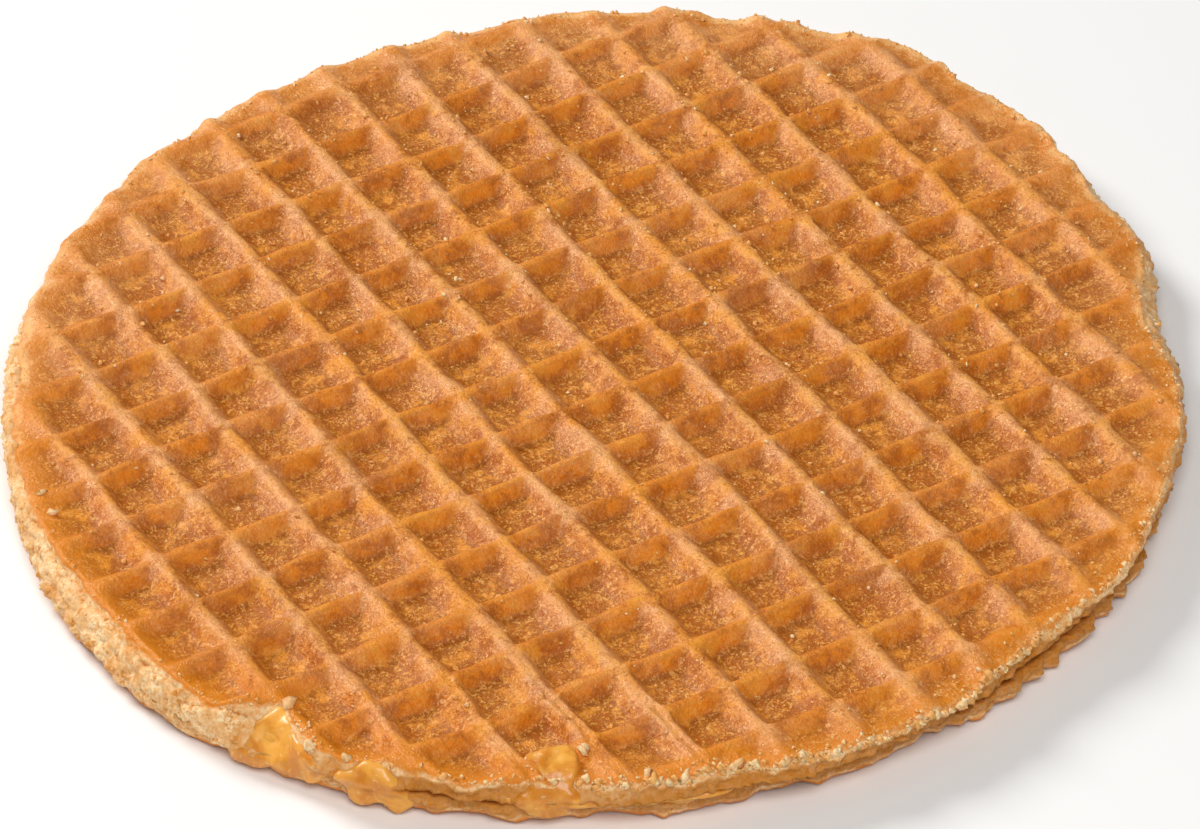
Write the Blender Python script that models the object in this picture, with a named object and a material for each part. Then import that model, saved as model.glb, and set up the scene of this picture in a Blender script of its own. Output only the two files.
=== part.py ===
"""Stroopwafel: two thin waffle rounds, pressed with a square grid, and the syrup between them.

Metres, +Z up. The stroopwafel lies flat on z = 0 with its box centred on the origin. The ridges
of the baked grid run along X and Y.
"""
import math

import bmesh
import bpy

MM = 0.001

# Thickness of the layers, from the underside up. The gaps keep the layers separate bodies.
WAFER = 2.05 * MM
SYRUP = 0.60 * MM
GAP = 0.30 * MM
UPPER_BOTTOM = WAFER + SYRUP + 2 * GAP
TOTAL = UPPER_BOTTOM + WAFER

# The waffle iron's grid: ridge to ridge, ridge top, and how a pocket's walls lean in and go down.
PITCH_X = 6.20 * MM
PITCH_Y = 6.02 * MM
RIDGE_TOP = 0.90 * MM
WALL_LEAN = 1.20 * MM
POCKET_DEPTH = 1.20 * MM
# How each baked face's grid is turned, and where a ridge's middle line lies in that turned grid.
TOP_TURN = 0
TOP_RIDGE = (0.06 * MM, 3.20 * MM)
UNDER_TURN = 56
UNDER_RIDGE = (1.40 * MM, 4.44 * MM)
GRID_REACH = 9
# Pockets grow shallow near the rim, and those cut by the rim run out through it.
SHALLOW_AT_RIM = 0.60
SHALLOW_BAND = 7.5 * MM
POCKET_OVERHANG = 0.4 * MM

# The rim: points around it, the rounding of the crust's edge, and how the torn side leans in.
RIM_POINTS = 90
CRUST_ROUND = 0.40 * MM
TORN_LEAN = 0.90 * MM
TORN_STEP = 0.60 * MM

# Outlines. "waves" are (waves around the rim, height in mm, degrees of a crest), and "swells"
# are (degrees of the middle, half width in degrees, height in mm), out from the mean radius.
UPPER_OUTLINE = {
    "mean": 50.40 * MM,
    "waves": [(1, 0.36, 111), (2, 1.49, 42), (3, 0.35, 33), (4, 0.39, 32)],
    "swells": [(29, 6, 1.4), (54, 3, 0.4), (103, 6, 0.3), (199, 6, 0.4), (208, 3, -1.6),
               (215, 3, 0.4), (225, 6, 0.4), (235, 3, -0.7), (262, 10, 0.3), (287, 8, -0.5),
               (320, 10, 0.3), (339, 6, -0.9), (349, 4, 0.5), (359, 4, -0.4)],
}
LOWER_OUTLINE = {
    "mean": 49.20 * MM,
    "waves": [(1, 0.90, 167), (2, 1.73, 34), (3, 0.51, 50), (4, 0.47, 25)],
    "swells": [(233, 4, 0.6), (239, 3, -0.4), (245, 4, 0.4), (261, 4, 0.5), (268, 8, -0.5), (340, 8, -0.8)],
}
SYRUP_OUTLINE = {
    "mean": 48.10 * MM,
    "waves": [(1, 0.50, 135), (2, 1.55, 37), (4, 0.40, 28)],
    "swells": [(206, 5, 0.8), (219, 5, 1.4), (238, 9, 1.8), (285, 12, -0.8), (338, 8, -1.0)],
}

# Syrup pressed out at the rim, up over the upper wafer's edge or down the side: degrees around
# the rim, radius of the middle, middle's depth below the crest, and half sizes (out, along, up).
DRIPS = [
    (234.5, 49.9 * MM, 1.35 * MM, (1.40 * MM, 2.50 * MM, 1.50 * MM)),
    (218.5, 50.7 * MM, 2.20 * MM, (1.50 * MM, 2.10 * MM, 1.95 * MM)),
]

# Materials: base colour, roughness.
FINISH = {
    "lower_wafer": ((0.42, 0.19, 0.05, 1.0), 0.60),
    "syrup": ((0.62, 0.33, 0.08, 1.0), 0.25),
    "upper_wafer": ((0.62, 0.29, 0.08, 1.0), 0.55),
}


def clear_scene():
    """Remove every object, so that the model starts from nothing."""
    for thing in list(bpy.data.objects):
        bpy.data.objects.remove(thing, do_unlink=True)


def radius_at(outline, angle):
    """Mean radius, plus slow waves around the rim, plus local swells and dents."""
    radius = outline["mean"]
    for count, height, crest in outline["waves"]:
        radius += height * MM * math.cos(count * (angle - math.radians(crest)))
    for middle, width, height in outline["swells"]:
        off = (angle - math.radians(middle) + math.pi) % math.tau - math.pi
        radius += height * MM * math.exp(-(off / math.radians(width)) ** 2)
    return radius


def rim_ring(outline, inset, height):
    """Points around an outline at one height, drawn in by inset."""
    ring = []
    for step in range(RIM_POINTS):
        angle = math.tau * step / RIM_POINTS
        radius = radius_at(outline, angle) - inset
        ring.append((radius * math.cos(angle), radius * math.sin(angle), height))
    return ring


def outlines_middle():
    """Middle of the box around all three outlines, which becomes the origin."""
    points = []
    for outline in (UPPER_OUTLINE, LOWER_OUTLINE, SYRUP_OUTLINE):
        points += rim_ring(outline, 0.0, 0.0)
    xs = [point[0] for point in points]
    ys = [point[1] for point in points]
    return (min(xs) + max(xs)) / 2, (min(ys) + max(ys)) / 2


def finished_object(name, bm):
    """Turn a bmesh into a named object, placed so that the whole box is centred."""
    mesh = bpy.data.meshes.new(name)
    bm.to_mesh(mesh)
    bm.free()
    thing = bpy.data.objects.new(name, mesh)
    middle_x, middle_y = outlines_middle()
    thing.location = (-middle_x, -middle_y, 0.0)
    bpy.context.collection.objects.link(thing)
    return thing


def paint(thing):
    """Give a sub-part its own plain material."""
    colour, roughness = FINISH[thing.name]
    material = bpy.data.materials.new(thing.name)
    material.use_nodes = True
    shader = material.node_tree.nodes["Principled BSDF"]
    shader.inputs["Base Color"].default_value = colour
    shader.inputs["Roughness"].default_value = roughness
    shader.inputs["Metallic"].default_value = 0.0
    thing.data.materials.append(material)


def skin_rings(bm, rings):
    """Closed body from a stack of rings, lowest first, with flat ends."""
    loops = [[bm.verts.new(point) for point in ring] for ring in rings]
    count = len(loops[0])
    for low, high in zip(loops, loops[1:]):
        for step in range(count):
            after = (step + 1) % count
            bm.faces.new((low[step], low[after], high[after], high[step]))
    bm.faces.new(loops[0][::-1])
    bm.faces.new(loops[-1])


def wafer_round(name, outline, bottom, crust_up):
    """Thin round: a softened crust edge on its baked face, and a torn side that leans in from it."""
    torn = [(0.35 * TORN_LEAN, WAFER - TORN_STEP), (TORN_LEAN, WAFER)]
    profile = [(CRUST_ROUND, 0.0), (0.0, CRUST_ROUND)] + torn
    if crust_up:
        levels = [(inset, bottom + WAFER - depth) for inset, depth in profile[::-1]]
    else:
        levels = [(inset, bottom + depth) for inset, depth in profile]
    bm = bmesh.new()
    skin_rings(bm, [rim_ring(outline, inset, height) for inset, height in levels])
    return finished_object(name, bm)


def pocket_depth(outline, x, y):
    """Depth of the pocket centred at x, y: full inside, shallow near the rim, a little uneven."""
    margin = radius_at(outline, math.atan2(y, x)) - math.hypot(x, y)
    inward = min(max(margin / SHALLOW_BAND, 0.0), 1.0)
    eased = inward * inward * (3.0 - 2.0 * inward)
    uneven = 0.05 * math.sin(310.0 * x + 1.0) + 0.05 * math.sin(270.0 * y - 420.0 * x)
    return POCKET_DEPTH * (SHALLOW_AT_RIM + (1.0 - SHALLOW_AT_RIM) * eased) * (1.0 + uneven)


def turned(x, y, turn):
    """A point of the turned grid, in the round's own axes."""
    angle = math.radians(turn)
    return x * math.cos(angle) - y * math.sin(angle), x * math.sin(angle) + y * math.cos(angle)


def pocket_rings(x, y, turn, face, inward, depth):
    """Rings of one pocket's cutter, lowest first: straight off the face, leaning in to the floor."""
    lean = WALL_LEAN * depth / POCKET_DEPTH
    rings = []
    for shrink, height in ((0.0, face - inward * MM), (0.0, face), (lean, face + inward * depth)):
        wide = (PITCH_X - RIDGE_TOP) / 2 - shrink
        long = (PITCH_Y - RIDGE_TOP) / 2 - shrink
        corners = [(x - wide, y - long), (x + wide, y - long), (x + wide, y + long), (x - wide, y + long)]
        rings.append([(*turned(across, along, turn), height) for across, along in corners])
    return rings if inward > 0 else rings[::-1]


def pocket_cutter(name, outline, ridge, turn, face, inward):
    """All the pockets of one baked face, as one set of closed cutters."""
    bm = bmesh.new()
    for column in range(-GRID_REACH, GRID_REACH):
        for row in range(-GRID_REACH, GRID_REACH):
            x = ridge[0] + (column + 0.5) * PITCH_X
            y = ridge[1] + (row + 0.5) * PITCH_Y
            place = turned(x, y, turn)
            rim = radius_at(outline, math.atan2(place[1], place[0]))
            if math.hypot(*place) < rim + POCKET_OVERHANG:
                skin_rings(bm, pocket_rings(x, y, turn, face, inward, pocket_depth(outline, *place)))
    return finished_object(name, bm)


def drip_body(name, drip, grow):
    """Rounded drip at the rim, its size grown by grow all round."""
    degrees, radius, depth, halves = drip
    out, along, up = (half + grow for half in halves)
    bm = bmesh.new()
    bmesh.ops.create_uvsphere(bm, u_segments=14, v_segments=7, radius=1.0)
    for vert in bm.verts:
        place = turned(radius + out * vert.co.x, along * vert.co.y, degrees)
        vert.co = (*place, TOTAL - depth + up * vert.co.z)
    return finished_object(name, bm)


def boolean(thing, other, operation):
    """Live, exact Boolean; the other object is only a tool and stays out of the model."""
    modifier = thing.modifiers.new(other.name, "BOOLEAN")
    modifier.operation = operation
    modifier.solver = "EXACT"
    modifier.object = other
    other.hide_render = True
    other.display_type = "WIRE"


def make_room_for_drips(wafer):
    """Scoop a wafer's rim so that it stays clear of the drips."""
    for number, drip in enumerate(DRIPS, start=1):
        boolean(wafer, drip_body(f"{wafer.name}_room_{number}", drip, GAP), "DIFFERENCE")


def make_lower_wafer():
    """Bottom waffle round, its baked and gridded face down on z = 0."""
    wafer = wafer_round("lower_wafer", LOWER_OUTLINE, 0.0, crust_up=False)
    pockets = pocket_cutter("lower_pockets", LOWER_OUTLINE, UNDER_RIDGE, UNDER_TURN, 0.0, 1.0)
    boolean(wafer, pockets, "DIFFERENCE")
    make_room_for_drips(wafer)
    paint(wafer)


def make_syrup():
    """Syrup through the whole round, swollen where it was pressed out, with the drips joined on."""
    bottom = WAFER + GAP
    soft = SYRUP / 3
    levels = [(2 * soft, bottom), (0.0, bottom + soft), (0.0, bottom + 2 * soft), (2 * soft, bottom + SYRUP)]
    bm = bmesh.new()
    skin_rings(bm, [rim_ring(SYRUP_OUTLINE, inset, height) for inset, height in levels])
    syrup = finished_object("syrup", bm)
    for number, drip in enumerate(DRIPS, start=1):
        boolean(syrup, drip_body(f"drip_{number}", drip, 0.0), "UNION")
    paint(syrup)


def make_upper_wafer():
    """Top waffle round, its baked and gridded face up."""
    wafer = wafer_round("upper_wafer", UPPER_OUTLINE, UPPER_BOTTOM, crust_up=True)
    pockets = pocket_cutter("upper_pockets", UPPER_OUTLINE, TOP_RIDGE, TOP_TURN, TOTAL, -1.0)
    boolean(wafer, pockets, "DIFFERENCE")
    make_room_for_drips(wafer)
    paint(wafer)


clear_scene()
make_lower_wafer()
make_syrup()
make_upper_wafer()
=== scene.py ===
# Stroopwafel: two thin round waffles, pressed with a square grid, around a layer of caramel syrup.
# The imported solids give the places. This script dresses each of them in a finer skin and lights it.
# Lengths in the settings are millimetres and angles are degrees, unless a note says otherwise.
import math

import bpy
import numpy as np
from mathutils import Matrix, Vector


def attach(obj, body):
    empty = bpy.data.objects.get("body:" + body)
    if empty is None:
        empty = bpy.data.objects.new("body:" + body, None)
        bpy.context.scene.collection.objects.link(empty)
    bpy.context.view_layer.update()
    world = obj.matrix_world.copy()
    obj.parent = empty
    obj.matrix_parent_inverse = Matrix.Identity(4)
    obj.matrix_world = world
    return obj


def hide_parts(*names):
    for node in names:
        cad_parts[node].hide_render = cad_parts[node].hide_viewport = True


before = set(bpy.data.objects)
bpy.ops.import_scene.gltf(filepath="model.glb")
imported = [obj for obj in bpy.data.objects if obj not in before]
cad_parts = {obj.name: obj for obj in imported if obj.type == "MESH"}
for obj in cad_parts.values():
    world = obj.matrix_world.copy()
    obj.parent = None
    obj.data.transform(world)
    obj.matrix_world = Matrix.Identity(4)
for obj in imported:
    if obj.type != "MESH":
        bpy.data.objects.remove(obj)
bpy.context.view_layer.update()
mm = 0.001

# The stack, as the solids have it. Depth is counted from a wafer's baked face into the wafer.
stack = {
    "wafer": 2.05,  # one round, crest of the ridges to the torn face
    "upperFace": 5.30,  # height of the upper round's crests
    "syrup": (2.05, 3.25),  # the syrup fills all the room between the rounds
    "top": 5.58,  # no crumb stands higher than this
    "middle": (0.40, 0.11),  # the rounds' middle
    "radius": 50.0,  # about, to turn lengths along the rim into angles
}

# An outline's radius at an angle is its mean, plus cosine waves (count, height, crest angle),
# plus single swells and notches (angle, width, height).
upperOutline = {
    "mean": 50.40,
    "waves": [(1, 0.36, 111), (2, 1.49, 42), (3, 0.35, 33), (4, 0.39, 32)],
    "swells": [(29, 6, 1.4), (54, 3, 0.4), (103, 6, 0.3), (199, 6, 0.4), (208, 3, -1.6),
               (215, 3, 0.4), (225, 6, 0.4), (235, 3, -0.7), (262, 10, 0.3), (287, 8, -0.5),
               (320, 10, 0.3), (339, 6, -0.9), (349, 4, 0.5), (359, 4, -0.4)],
}
lowerOutline = {
    "mean": 49.20,
    "waves": [(1, 0.90, 167), (2, 1.73, 34), (3, 0.51, 50), (4, 0.47, 25)],
    "swells": [(233, 4, 0.6), (239, 3, -0.4), (245, 4, 0.4), (261, 4, 0.5), (268, 8, -0.5),
               (340, 8, -0.8)],
}
syrupOutline = {
    "mean": 48.10,
    "waves": [(1, 0.50, 135), (2, 1.55, 37), (4, 0.40, 28)],
    "swells": [(206, 5, 0.8), (219, 5, 1.4), (238, 9, 1.8), (285, 12, -0.8), (338, 8, -1.0)],
}


def smooth(t):  # 0 below 0, 1 above 1, and a soft S between: 3t^2 - 2t^3
    t = np.clip(t, 0.0, 1.0)
    return t * t * (3.0 - 2.0 * t)


def bend(u, knee):  # 0 below -knee, u above knee, and (u + knee)^2 / 4 knee between
    return np.where(u < -knee, 0.0, np.where(u > knee, u, (u + knee)**2 / (4 * knee)))


def ramp(t, low, high):  # 0, then t itself, then 1, with the two corners rounded by low and high
    return bend(t, low) - bend(t - 1.0, high)


# Large primes turn a cube's place, a seed and a point's number into one key.
cubeKeys = np.array([73856093, 19349663, 83492791])
seedKey, pointKey = 982451653, 915488749
grainPoints = np.array([11, 57, 113])  # the three numbers of a grain's middle
askew = np.array([[0.80, 0.36, -0.48], [-0.60, 0.48, -0.64], [0.0, 0.80, 0.60]])  # a plain turn


def chanceOf(key):  # a fixed chance value from 0 to 1 for each whole number
    key = ((key ^ (key >> 13)) * 1274126177) & 0x7FFFFFFF
    return ((key ^ (key >> 15)) & 0xFFFF) / 65535.0


def noise(points, size, seed=0):
    # Space is cut in cubes of the given size, set askew. Each corner has a chance value from -1 to 1,
    # and a point takes the mean of its cube's eight corners, weighed by the soft S of its place.
    place = points @ askew / size + 31.7 * (seed + 1)
    cell = np.floor(place).astype(np.int64)
    part = smooth(place - cell)
    total = np.zeros(len(points))
    for corner in np.ndindex(2, 2, 2):
        chance = 2.0 * chanceOf((cell + corner) @ cubeKeys + seed * seedKey) - 1.0
        total += chance * np.prod(np.where(corner, part, 1.0 - part), axis=1)
    return total


def layeredNoise(points, size, seed=0, layers=3):  # each layer is half as wide and half as strong
    return sum(noise(points, size / 2**k, seed + k) / 2**k for k in range(layers)) / (2 - 0.5**(layers - 1))


def grains(points, size, seed=0):
    # Each cube of the given size holds one chance point, and a place's value falls from 1 at the
    # nearest of them to 0 at one size away, which heaps the surface in round crumbs.
    place = points / size + 17.3 * (seed + 1)
    cell = np.floor(place).astype(np.int64)
    nearest = np.full(len(points), np.inf)
    for step in np.ndindex(3, 3, 3):
        near = cell + np.array(step) - 1
        centre = near + chanceOf((near @ cubeKeys)[:, None] + grainPoints * pointKey + seed * seedKey)
        nearest = np.minimum(nearest, np.sum((centre - place)**2, axis=1))
    return np.clip(1.0 - np.sqrt(nearest), 0.0, 1.0)


def angleApart(angle, other):  # from -180 to 180
    return (angle - other + 180.0) % 360.0 - 180.0


def bumpsAt(angle, bumps):  # the sum of bell curves (angle, width, height)
    return 0.0 * angle + sum(high * np.exp(-(angleApart(angle, at) / wide)**2) for at, wide, high in bumps)


def outlineRadius(outline, angle):
    radius = outline["mean"] + bumpsAt(angle, outline["swells"])
    for count, height, crest in outline["waves"]:
        radius = radius + height * np.cos(count * np.radians(angle - crest))
    return radius


def polar(x, y):  # distance from the rounds' middle, and angle
    dx, dy = x - stack["middle"][0], y - stack["middle"][1]
    return np.hypot(dx, dy), np.degrees(np.arctan2(dy, dx)) % 360.0


def aroundMiddle(radius, angle):
    turn = np.radians(angle)
    return stack["middle"][0] + radius * np.cos(turn), stack["middle"][1] + radius * np.sin(turn)


def pointsAround(radius, angle, height=0.0):  # the same with a height, as rows of three
    x, y = aroundMiddle(radius, angle)
    return np.stack([x, y, height + 0.0 * x], axis=1)


def makePiece(name, vertices, faces, material, marks=None):
    # Vertices come in millimetres. Faces are rows of four, a triangle having its last point twice.
    four = faces[faces[:, 2] != faces[:, 3]]
    three = faces[faces[:, 2] == faces[:, 3]][:, :3]
    mesh = bpy.data.meshes.new(name)
    corners = np.concatenate([four.ravel(), three.ravel()]).astype(np.int32)
    sizes = np.concatenate([np.full(len(four), 4), np.full(len(three), 3)]).astype(np.int32)
    mesh.vertices.add(len(vertices))
    mesh.vertices.foreach_set("co", (vertices * mm).astype(np.float32).ravel())
    mesh.loops.add(len(corners))
    mesh.loops.foreach_set("vertex_index", corners)
    mesh.polygons.add(len(sizes))
    mesh.polygons.foreach_set("loop_start", (np.cumsum(sizes) - sizes).astype(np.int32))
    mesh.polygons.foreach_set("use_smooth", np.ones(len(sizes), bool))
    for label, values in (marks or {}).items():
        mark = mesh.attributes.new(label, "FLOAT", "POINT")
        mark.data.foreach_set("value", np.asarray(values, np.float32))
    mesh.update(calc_edges=True)
    mesh.validate()
    piece = bpy.data.objects.new(name, mesh)
    bpy.context.collection.objects.link(piece)
    mesh.materials.append(material)
    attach(piece, "root")
    print(f"{name}: {2 * len(four) + len(three)} triangles")
    return piece


def ringFaces(first, second, count):  # the belt of quads between two rings of the same count
    a = np.arange(count)
    b = (a + 1) % count
    return np.stack([first + a, first + b, second + b, second + a], axis=1)


def fanFaces(first, tip, count):  # the triangles from a ring to one point
    a = np.arange(count)
    tips = np.full(count, tip)
    return np.stack([first + a, first + (a + 1) % count, tips, tips], axis=1)


def gridFaces(rows, columns):  # the quads of a grid whose points are counted row by row
    corner = (np.arange(rows - 1)[:, None] * columns + np.arange(columns - 1)).ravel()
    return np.stack([corner, corner + columns, corner + columns + 1, corner + 1], axis=1)


def turnedOver(faces):  # the same faces, facing the other way
    isTriangle = (faces[:, 2] == faces[:, 3])[:, None]
    return np.where(isTriangle, faces[:, [1, 0, 2, 2]], faces[:, ::-1])


def borderLoop(quads, count):
    # The points round the quads, in the quads' own direction. Each border point's next one is known,
    # and their order is found by doubling the stride.
    start = quads.ravel()
    end = np.roll(quads, -1, axis=1).ravel()
    isBorder = ~np.isin(end * count + start, start * count + end)
    stride = np.arange(count)
    stride[start[isBorder]] = end[isBorder]
    order = start[isBorder][:1]
    while len(order) < isBorder.sum():
        order = np.concatenate([order, stride[order]])
        stride = stride[stride]
    return order[:isBorder.sum()]


def stitchLoops(inner, innerAngle, outer, outerAngle):
    # Triangles between two loops round the same middle. All points are put in order of angle,
    # and each makes a triangle with the last point before it on either loop.
    angles = np.concatenate([innerAngle, outerAngle])
    isInner = np.concatenate([np.ones(len(inner), bool), np.zeros(len(outer), bool)])
    place = np.concatenate([np.arange(len(inner)), np.arange(len(outer))])
    order = np.argsort(angles, kind="stable")
    isInner, place = isInner[order], place[order]
    lastInner = np.cumsum(isInner) - 1
    lastOuter = np.cumsum(~isInner) - 1
    fromInner = np.where(isInner, lastInner - 1, lastInner) % len(inner)
    fromOuter = np.where(isInner, lastOuter, lastOuter - 1) % len(outer)
    reached = np.where(isInner, inner[place % len(inner)], outer[place % len(outer)])
    return np.stack([inner[fromInner], outer[fromOuter], reached, reached], axis=1)


camera = {
    "azimuth": -30.768,  # 0 looks along +Y
    "elevation": 39.378,
    "distance": 513.16,
    "aim": (-3.188, -5.183, 5.3),
    "lens": 187.28,
    "sensor": 36.0,
    "clip": (20.0, 20000.0),
}


def makeCamera(s):
    a, e = math.radians(s["azimuth"]), math.radians(s["elevation"])
    back = Vector((math.sin(a) * math.cos(e), -math.cos(a) * math.cos(e), math.sin(e)))
    data = bpy.data.cameras.new("camera")
    data.lens, data.sensor_width = s["lens"], s["sensor"]
    data.clip_start, data.clip_end = (clip * mm for clip in s["clip"])
    eye = bpy.data.objects.new("camera", data)
    eye.location = (Vector(s["aim"]) + back * s["distance"]) * mm
    eye.rotation_euler = (math.radians(90 - s["elevation"]), 0.0, a)
    bpy.context.collection.objects.link(eye)
    bpy.context.scene.camera = eye
    print("camera placed")


makeCamera(camera)


class Nodes:
    # A short way to write a material's or a group's nodes.
    def __init__(self, tree):
        self.tree = tree

    def add(self, kind, **values):
        node = self.tree.nodes.new(kind)
        for key, value in values.items():
            setattr(node, key, value)
        return node

    def link(self, source, target):  # a number or a colour is set, anything else is joined
        if isinstance(source, (int, float, tuple)):
            target.default_value = source
        else:
            self.tree.links.new(source, target)

    def math(self, operation, a, b):
        node = self.add("ShaderNodeMath", operation=operation)
        self.link(a, node.inputs[0])
        self.link(b, node.inputs[1])
        return node.outputs[0]

    def plus(self, a, b):
        return self.math("ADD", a, b)

    def minus(self, a, b):
        return self.math("SUBTRACT", a, b)

    def times(self, a, b):
        return self.math("MULTIPLY", a, b)

    def between(self, value, low, high, toLow=0.0, toHigh=1.0):  # from toLow to toHigh in a soft S
        node = self.add("ShaderNodeMapRange", interpolation_type="SMOOTHSTEP")
        self.link(value, node.inputs["Value"])
        for socket, number in zip(node.inputs[1:5], (low, high, toLow, toHigh)):
            self.link(number, socket)
        return node.outputs[0]

    def mix(self, amount, first, second):
        node = self.add("ShaderNodeMix", data_type="RGBA", clamp_factor=True)
        self.link(amount, node.inputs[0])
        self.link(first, node.inputs[6])
        self.link(second, node.inputs[7])
        return node.outputs[2]

    def mark(self, name):  # a value stored at the piece's points
        return self.add("ShaderNodeAttribute", attribute_name=name).outputs["Fac"]

    def place(self):
        return self.add("ShaderNodeTexCoord").outputs["Object"]

    def noise(self, where, size, detail=3.0, rough=0.5, twist=0.0):  # size in millimetres
        node = self.add("ShaderNodeTexNoise")
        self.link(where, node.inputs["Vector"])
        values = {"Scale": 1.0 / (size * mm), "Detail": detail, "Roughness": rough, "Distortion": twist}
        for label, value in values.items():
            node.inputs[label].default_value = value
        return node.outputs["Fac"]

    def kernels(self, where, size):  # distance from the nearest kernel, in sizes
        node = self.add("ShaderNodeTexVoronoi", feature="F1")
        self.link(where, node.inputs["Vector"])
        node.inputs["Scale"].default_value = 1.0 / (size * mm)
        return node.outputs["Distance"]

    def bump(self, shader, height, strength, distance):  # distance in millimetres
        node = self.add("ShaderNodeBump")
        node.inputs["Strength"].default_value = strength
        node.inputs["Distance"].default_value = distance * mm
        self.link(height, node.inputs["Height"])
        self.link(node.outputs[0], shader.inputs["Normal"])

    def group(self, tree, **values):
        node = self.add("ShaderNodeGroup", node_tree=tree)
        for key, value in values.items():
            self.link(value, node.inputs[key])
        return node.outputs


def srgb(red, green, blue):  # a colour as a paint program shows it, from 0 to 255
    return tuple((c / 255 / 12.92) if c <= 10 else ((c / 255 + 0.055) / 1.055)**2.4
                 for c in (red, green, blue)) + (1.0,)


grainSizes = {
    "grain": 0.19,  # the finest light and dark
    "kernels": 0.38,  # specks of fat and sugar, partly painted glints
    "worms": 0.55,  # short curls in the crust
    "mottle": 1.9,  # mottling within a pocket
    "oil": 4.2,  # greasy and dry spots, and where the painted sheen goes
    "patches": 9.0,  # more and less baked stretches
}


def makeGrain(s):
    # What the baked crust shows close up: pale specks of fat and sugar, partly painted glints, the small
    # bumps that carry them, a fine light and dark grain, and wider mottling. More Amount means more specks.
    tree = bpy.data.node_groups.new("bakedGrain", "ShaderNodeTree")
    tree.interface.new_socket(name="Place", in_out="INPUT", socket_type="NodeSocketVector")
    tree.interface.new_socket(name="Amount", in_out="INPUT", socket_type="NodeSocketFloat")
    for label in ("Specks", "Bumps", "Grain", "Mottle", "Patches", "Oil"):
        tree.interface.new_socket(name=label, in_out="OUTPUT", socket_type="NodeSocketFloat")
    n = Nodes(tree)
    given, out = n.add("NodeGroupInput").outputs, n.add("NodeGroupOutput").inputs
    fine = n.noise(given["Place"], s["grain"], detail=2.0, rough=0.7, twist=0.5)
    worm = n.noise(given["Place"], s["worms"], detail=3.0, rough=0.65, twist=0.8)
    near = n.minus(0.5, n.kernels(given["Place"], s["kernels"]))
    ragged = n.plus(n.times(near, 0.5), n.times(n.minus(fine, 0.5), 1.3))
    ragged = n.plus(ragged, n.times(n.minus(worm, 0.5), 1.3))
    low = n.minus(0.30, n.times(given["Amount"], 0.24))
    n.link(n.between(ragged, low, n.plus(low, 0.30)), out["Specks"])
    n.link(n.plus(n.plus(fine, n.times(near, 0.4)), n.times(worm, 1.3)), out["Bumps"])
    n.link(n.plus(n.times(fine, 0.55), n.times(worm, 0.45)), out["Grain"])
    n.link(n.noise(given["Place"], s["mottle"], detail=4.0, rough=0.65), out["Mottle"])
    n.link(n.noise(given["Place"], s["patches"], detail=3.0, rough=0.55), out["Patches"])
    n.link(n.noise(given["Place"], s["oil"], detail=2.0, rough=0.5), out["Oil"])
    return tree


grainGroup = makeGrain(grainSizes)


def newMaterial(name, roughness, specular=0.5, scatter=0.0, coat=0.0):
    material = bpy.data.materials.new(name)
    material.use_nodes = True
    tree = material.node_tree
    shader = tree.nodes["Principled BSDF"]
    values = {"Roughness": roughness, "Specular IOR Level": specular, "Subsurface Weight": scatter,
              "Subsurface Radius": (1.0, 0.45, 0.15),  # red light goes deepest
              "Subsurface Scale": 0.6 * mm, "Coat Weight": coat, "Coat Roughness": 0.15}
    for label, value in values.items():
        shader.inputs[label].default_value = value
    return material, Nodes(tree), shader


crustFinish = {
    "crest": srgb(234, 148, 56),  # tops of the ridges along Y, a light orange brown with painted highlight
    "crestPale": srgb(244, 176, 100),  # and where they are baked least
    "crestShaded": srgb(224, 132, 34),  # tops of the ridges along X, darker with painted shade
    "flank": srgb(222, 140, 68),  # sides of the ridges along Y, pinker with painted highlight
    "flankShaded": srgb(246, 142, 10),  # sides of the ridges along X, saturated orange with painted shade
    "floor": srgb(162, 94, 12),  # pocket floors, tan brown
    "footShade": srgb(140, 70, 2),  # painted shade round the foot of a ridge
    "toast": srgb(170, 86, 4),  # where the iron was hottest
    "blond": srgb(238, 156, 46),  # pale doughy spots
    "peach": srgb(234, 168, 114),  # greasy spots, partly a painted sheen, and the paler rim
    "rim": srgb(224, 132, 22),  # the smoother crust near the edge
    "fringe": srgb(250, 192, 122),  # and the paler one at the very edge
    "specks": srgb(238, 188, 118),  # fat and sugar, partly painted glints
    "specksPale": srgb(248, 200, 146),
    "crumb": srgb(255, 224, 174),  # the torn inside
    "crumbDeep": srgb(240, 178, 108),  # between its grains
    "crumbTan": srgb(236, 172, 98),  # its darker patches
    "pit": srgb(214, 134, 34),  # its pits and hollows
    "soaked": srgb(194, 118, 12),  # torn inside that drank syrup
    "crumbSizes": {"grain": 0.34, "pits": 0.8, "patches": 1.9, "hollows": 2.8},
    "gleam": srgb(255, 230, 208),  # the tint of a greasy highlight
    "specular": 0.55,
    "scatter": 0.12,
    "bump": (0.8, 0.12),  # strength and height of the grain's bumps
}


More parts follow.
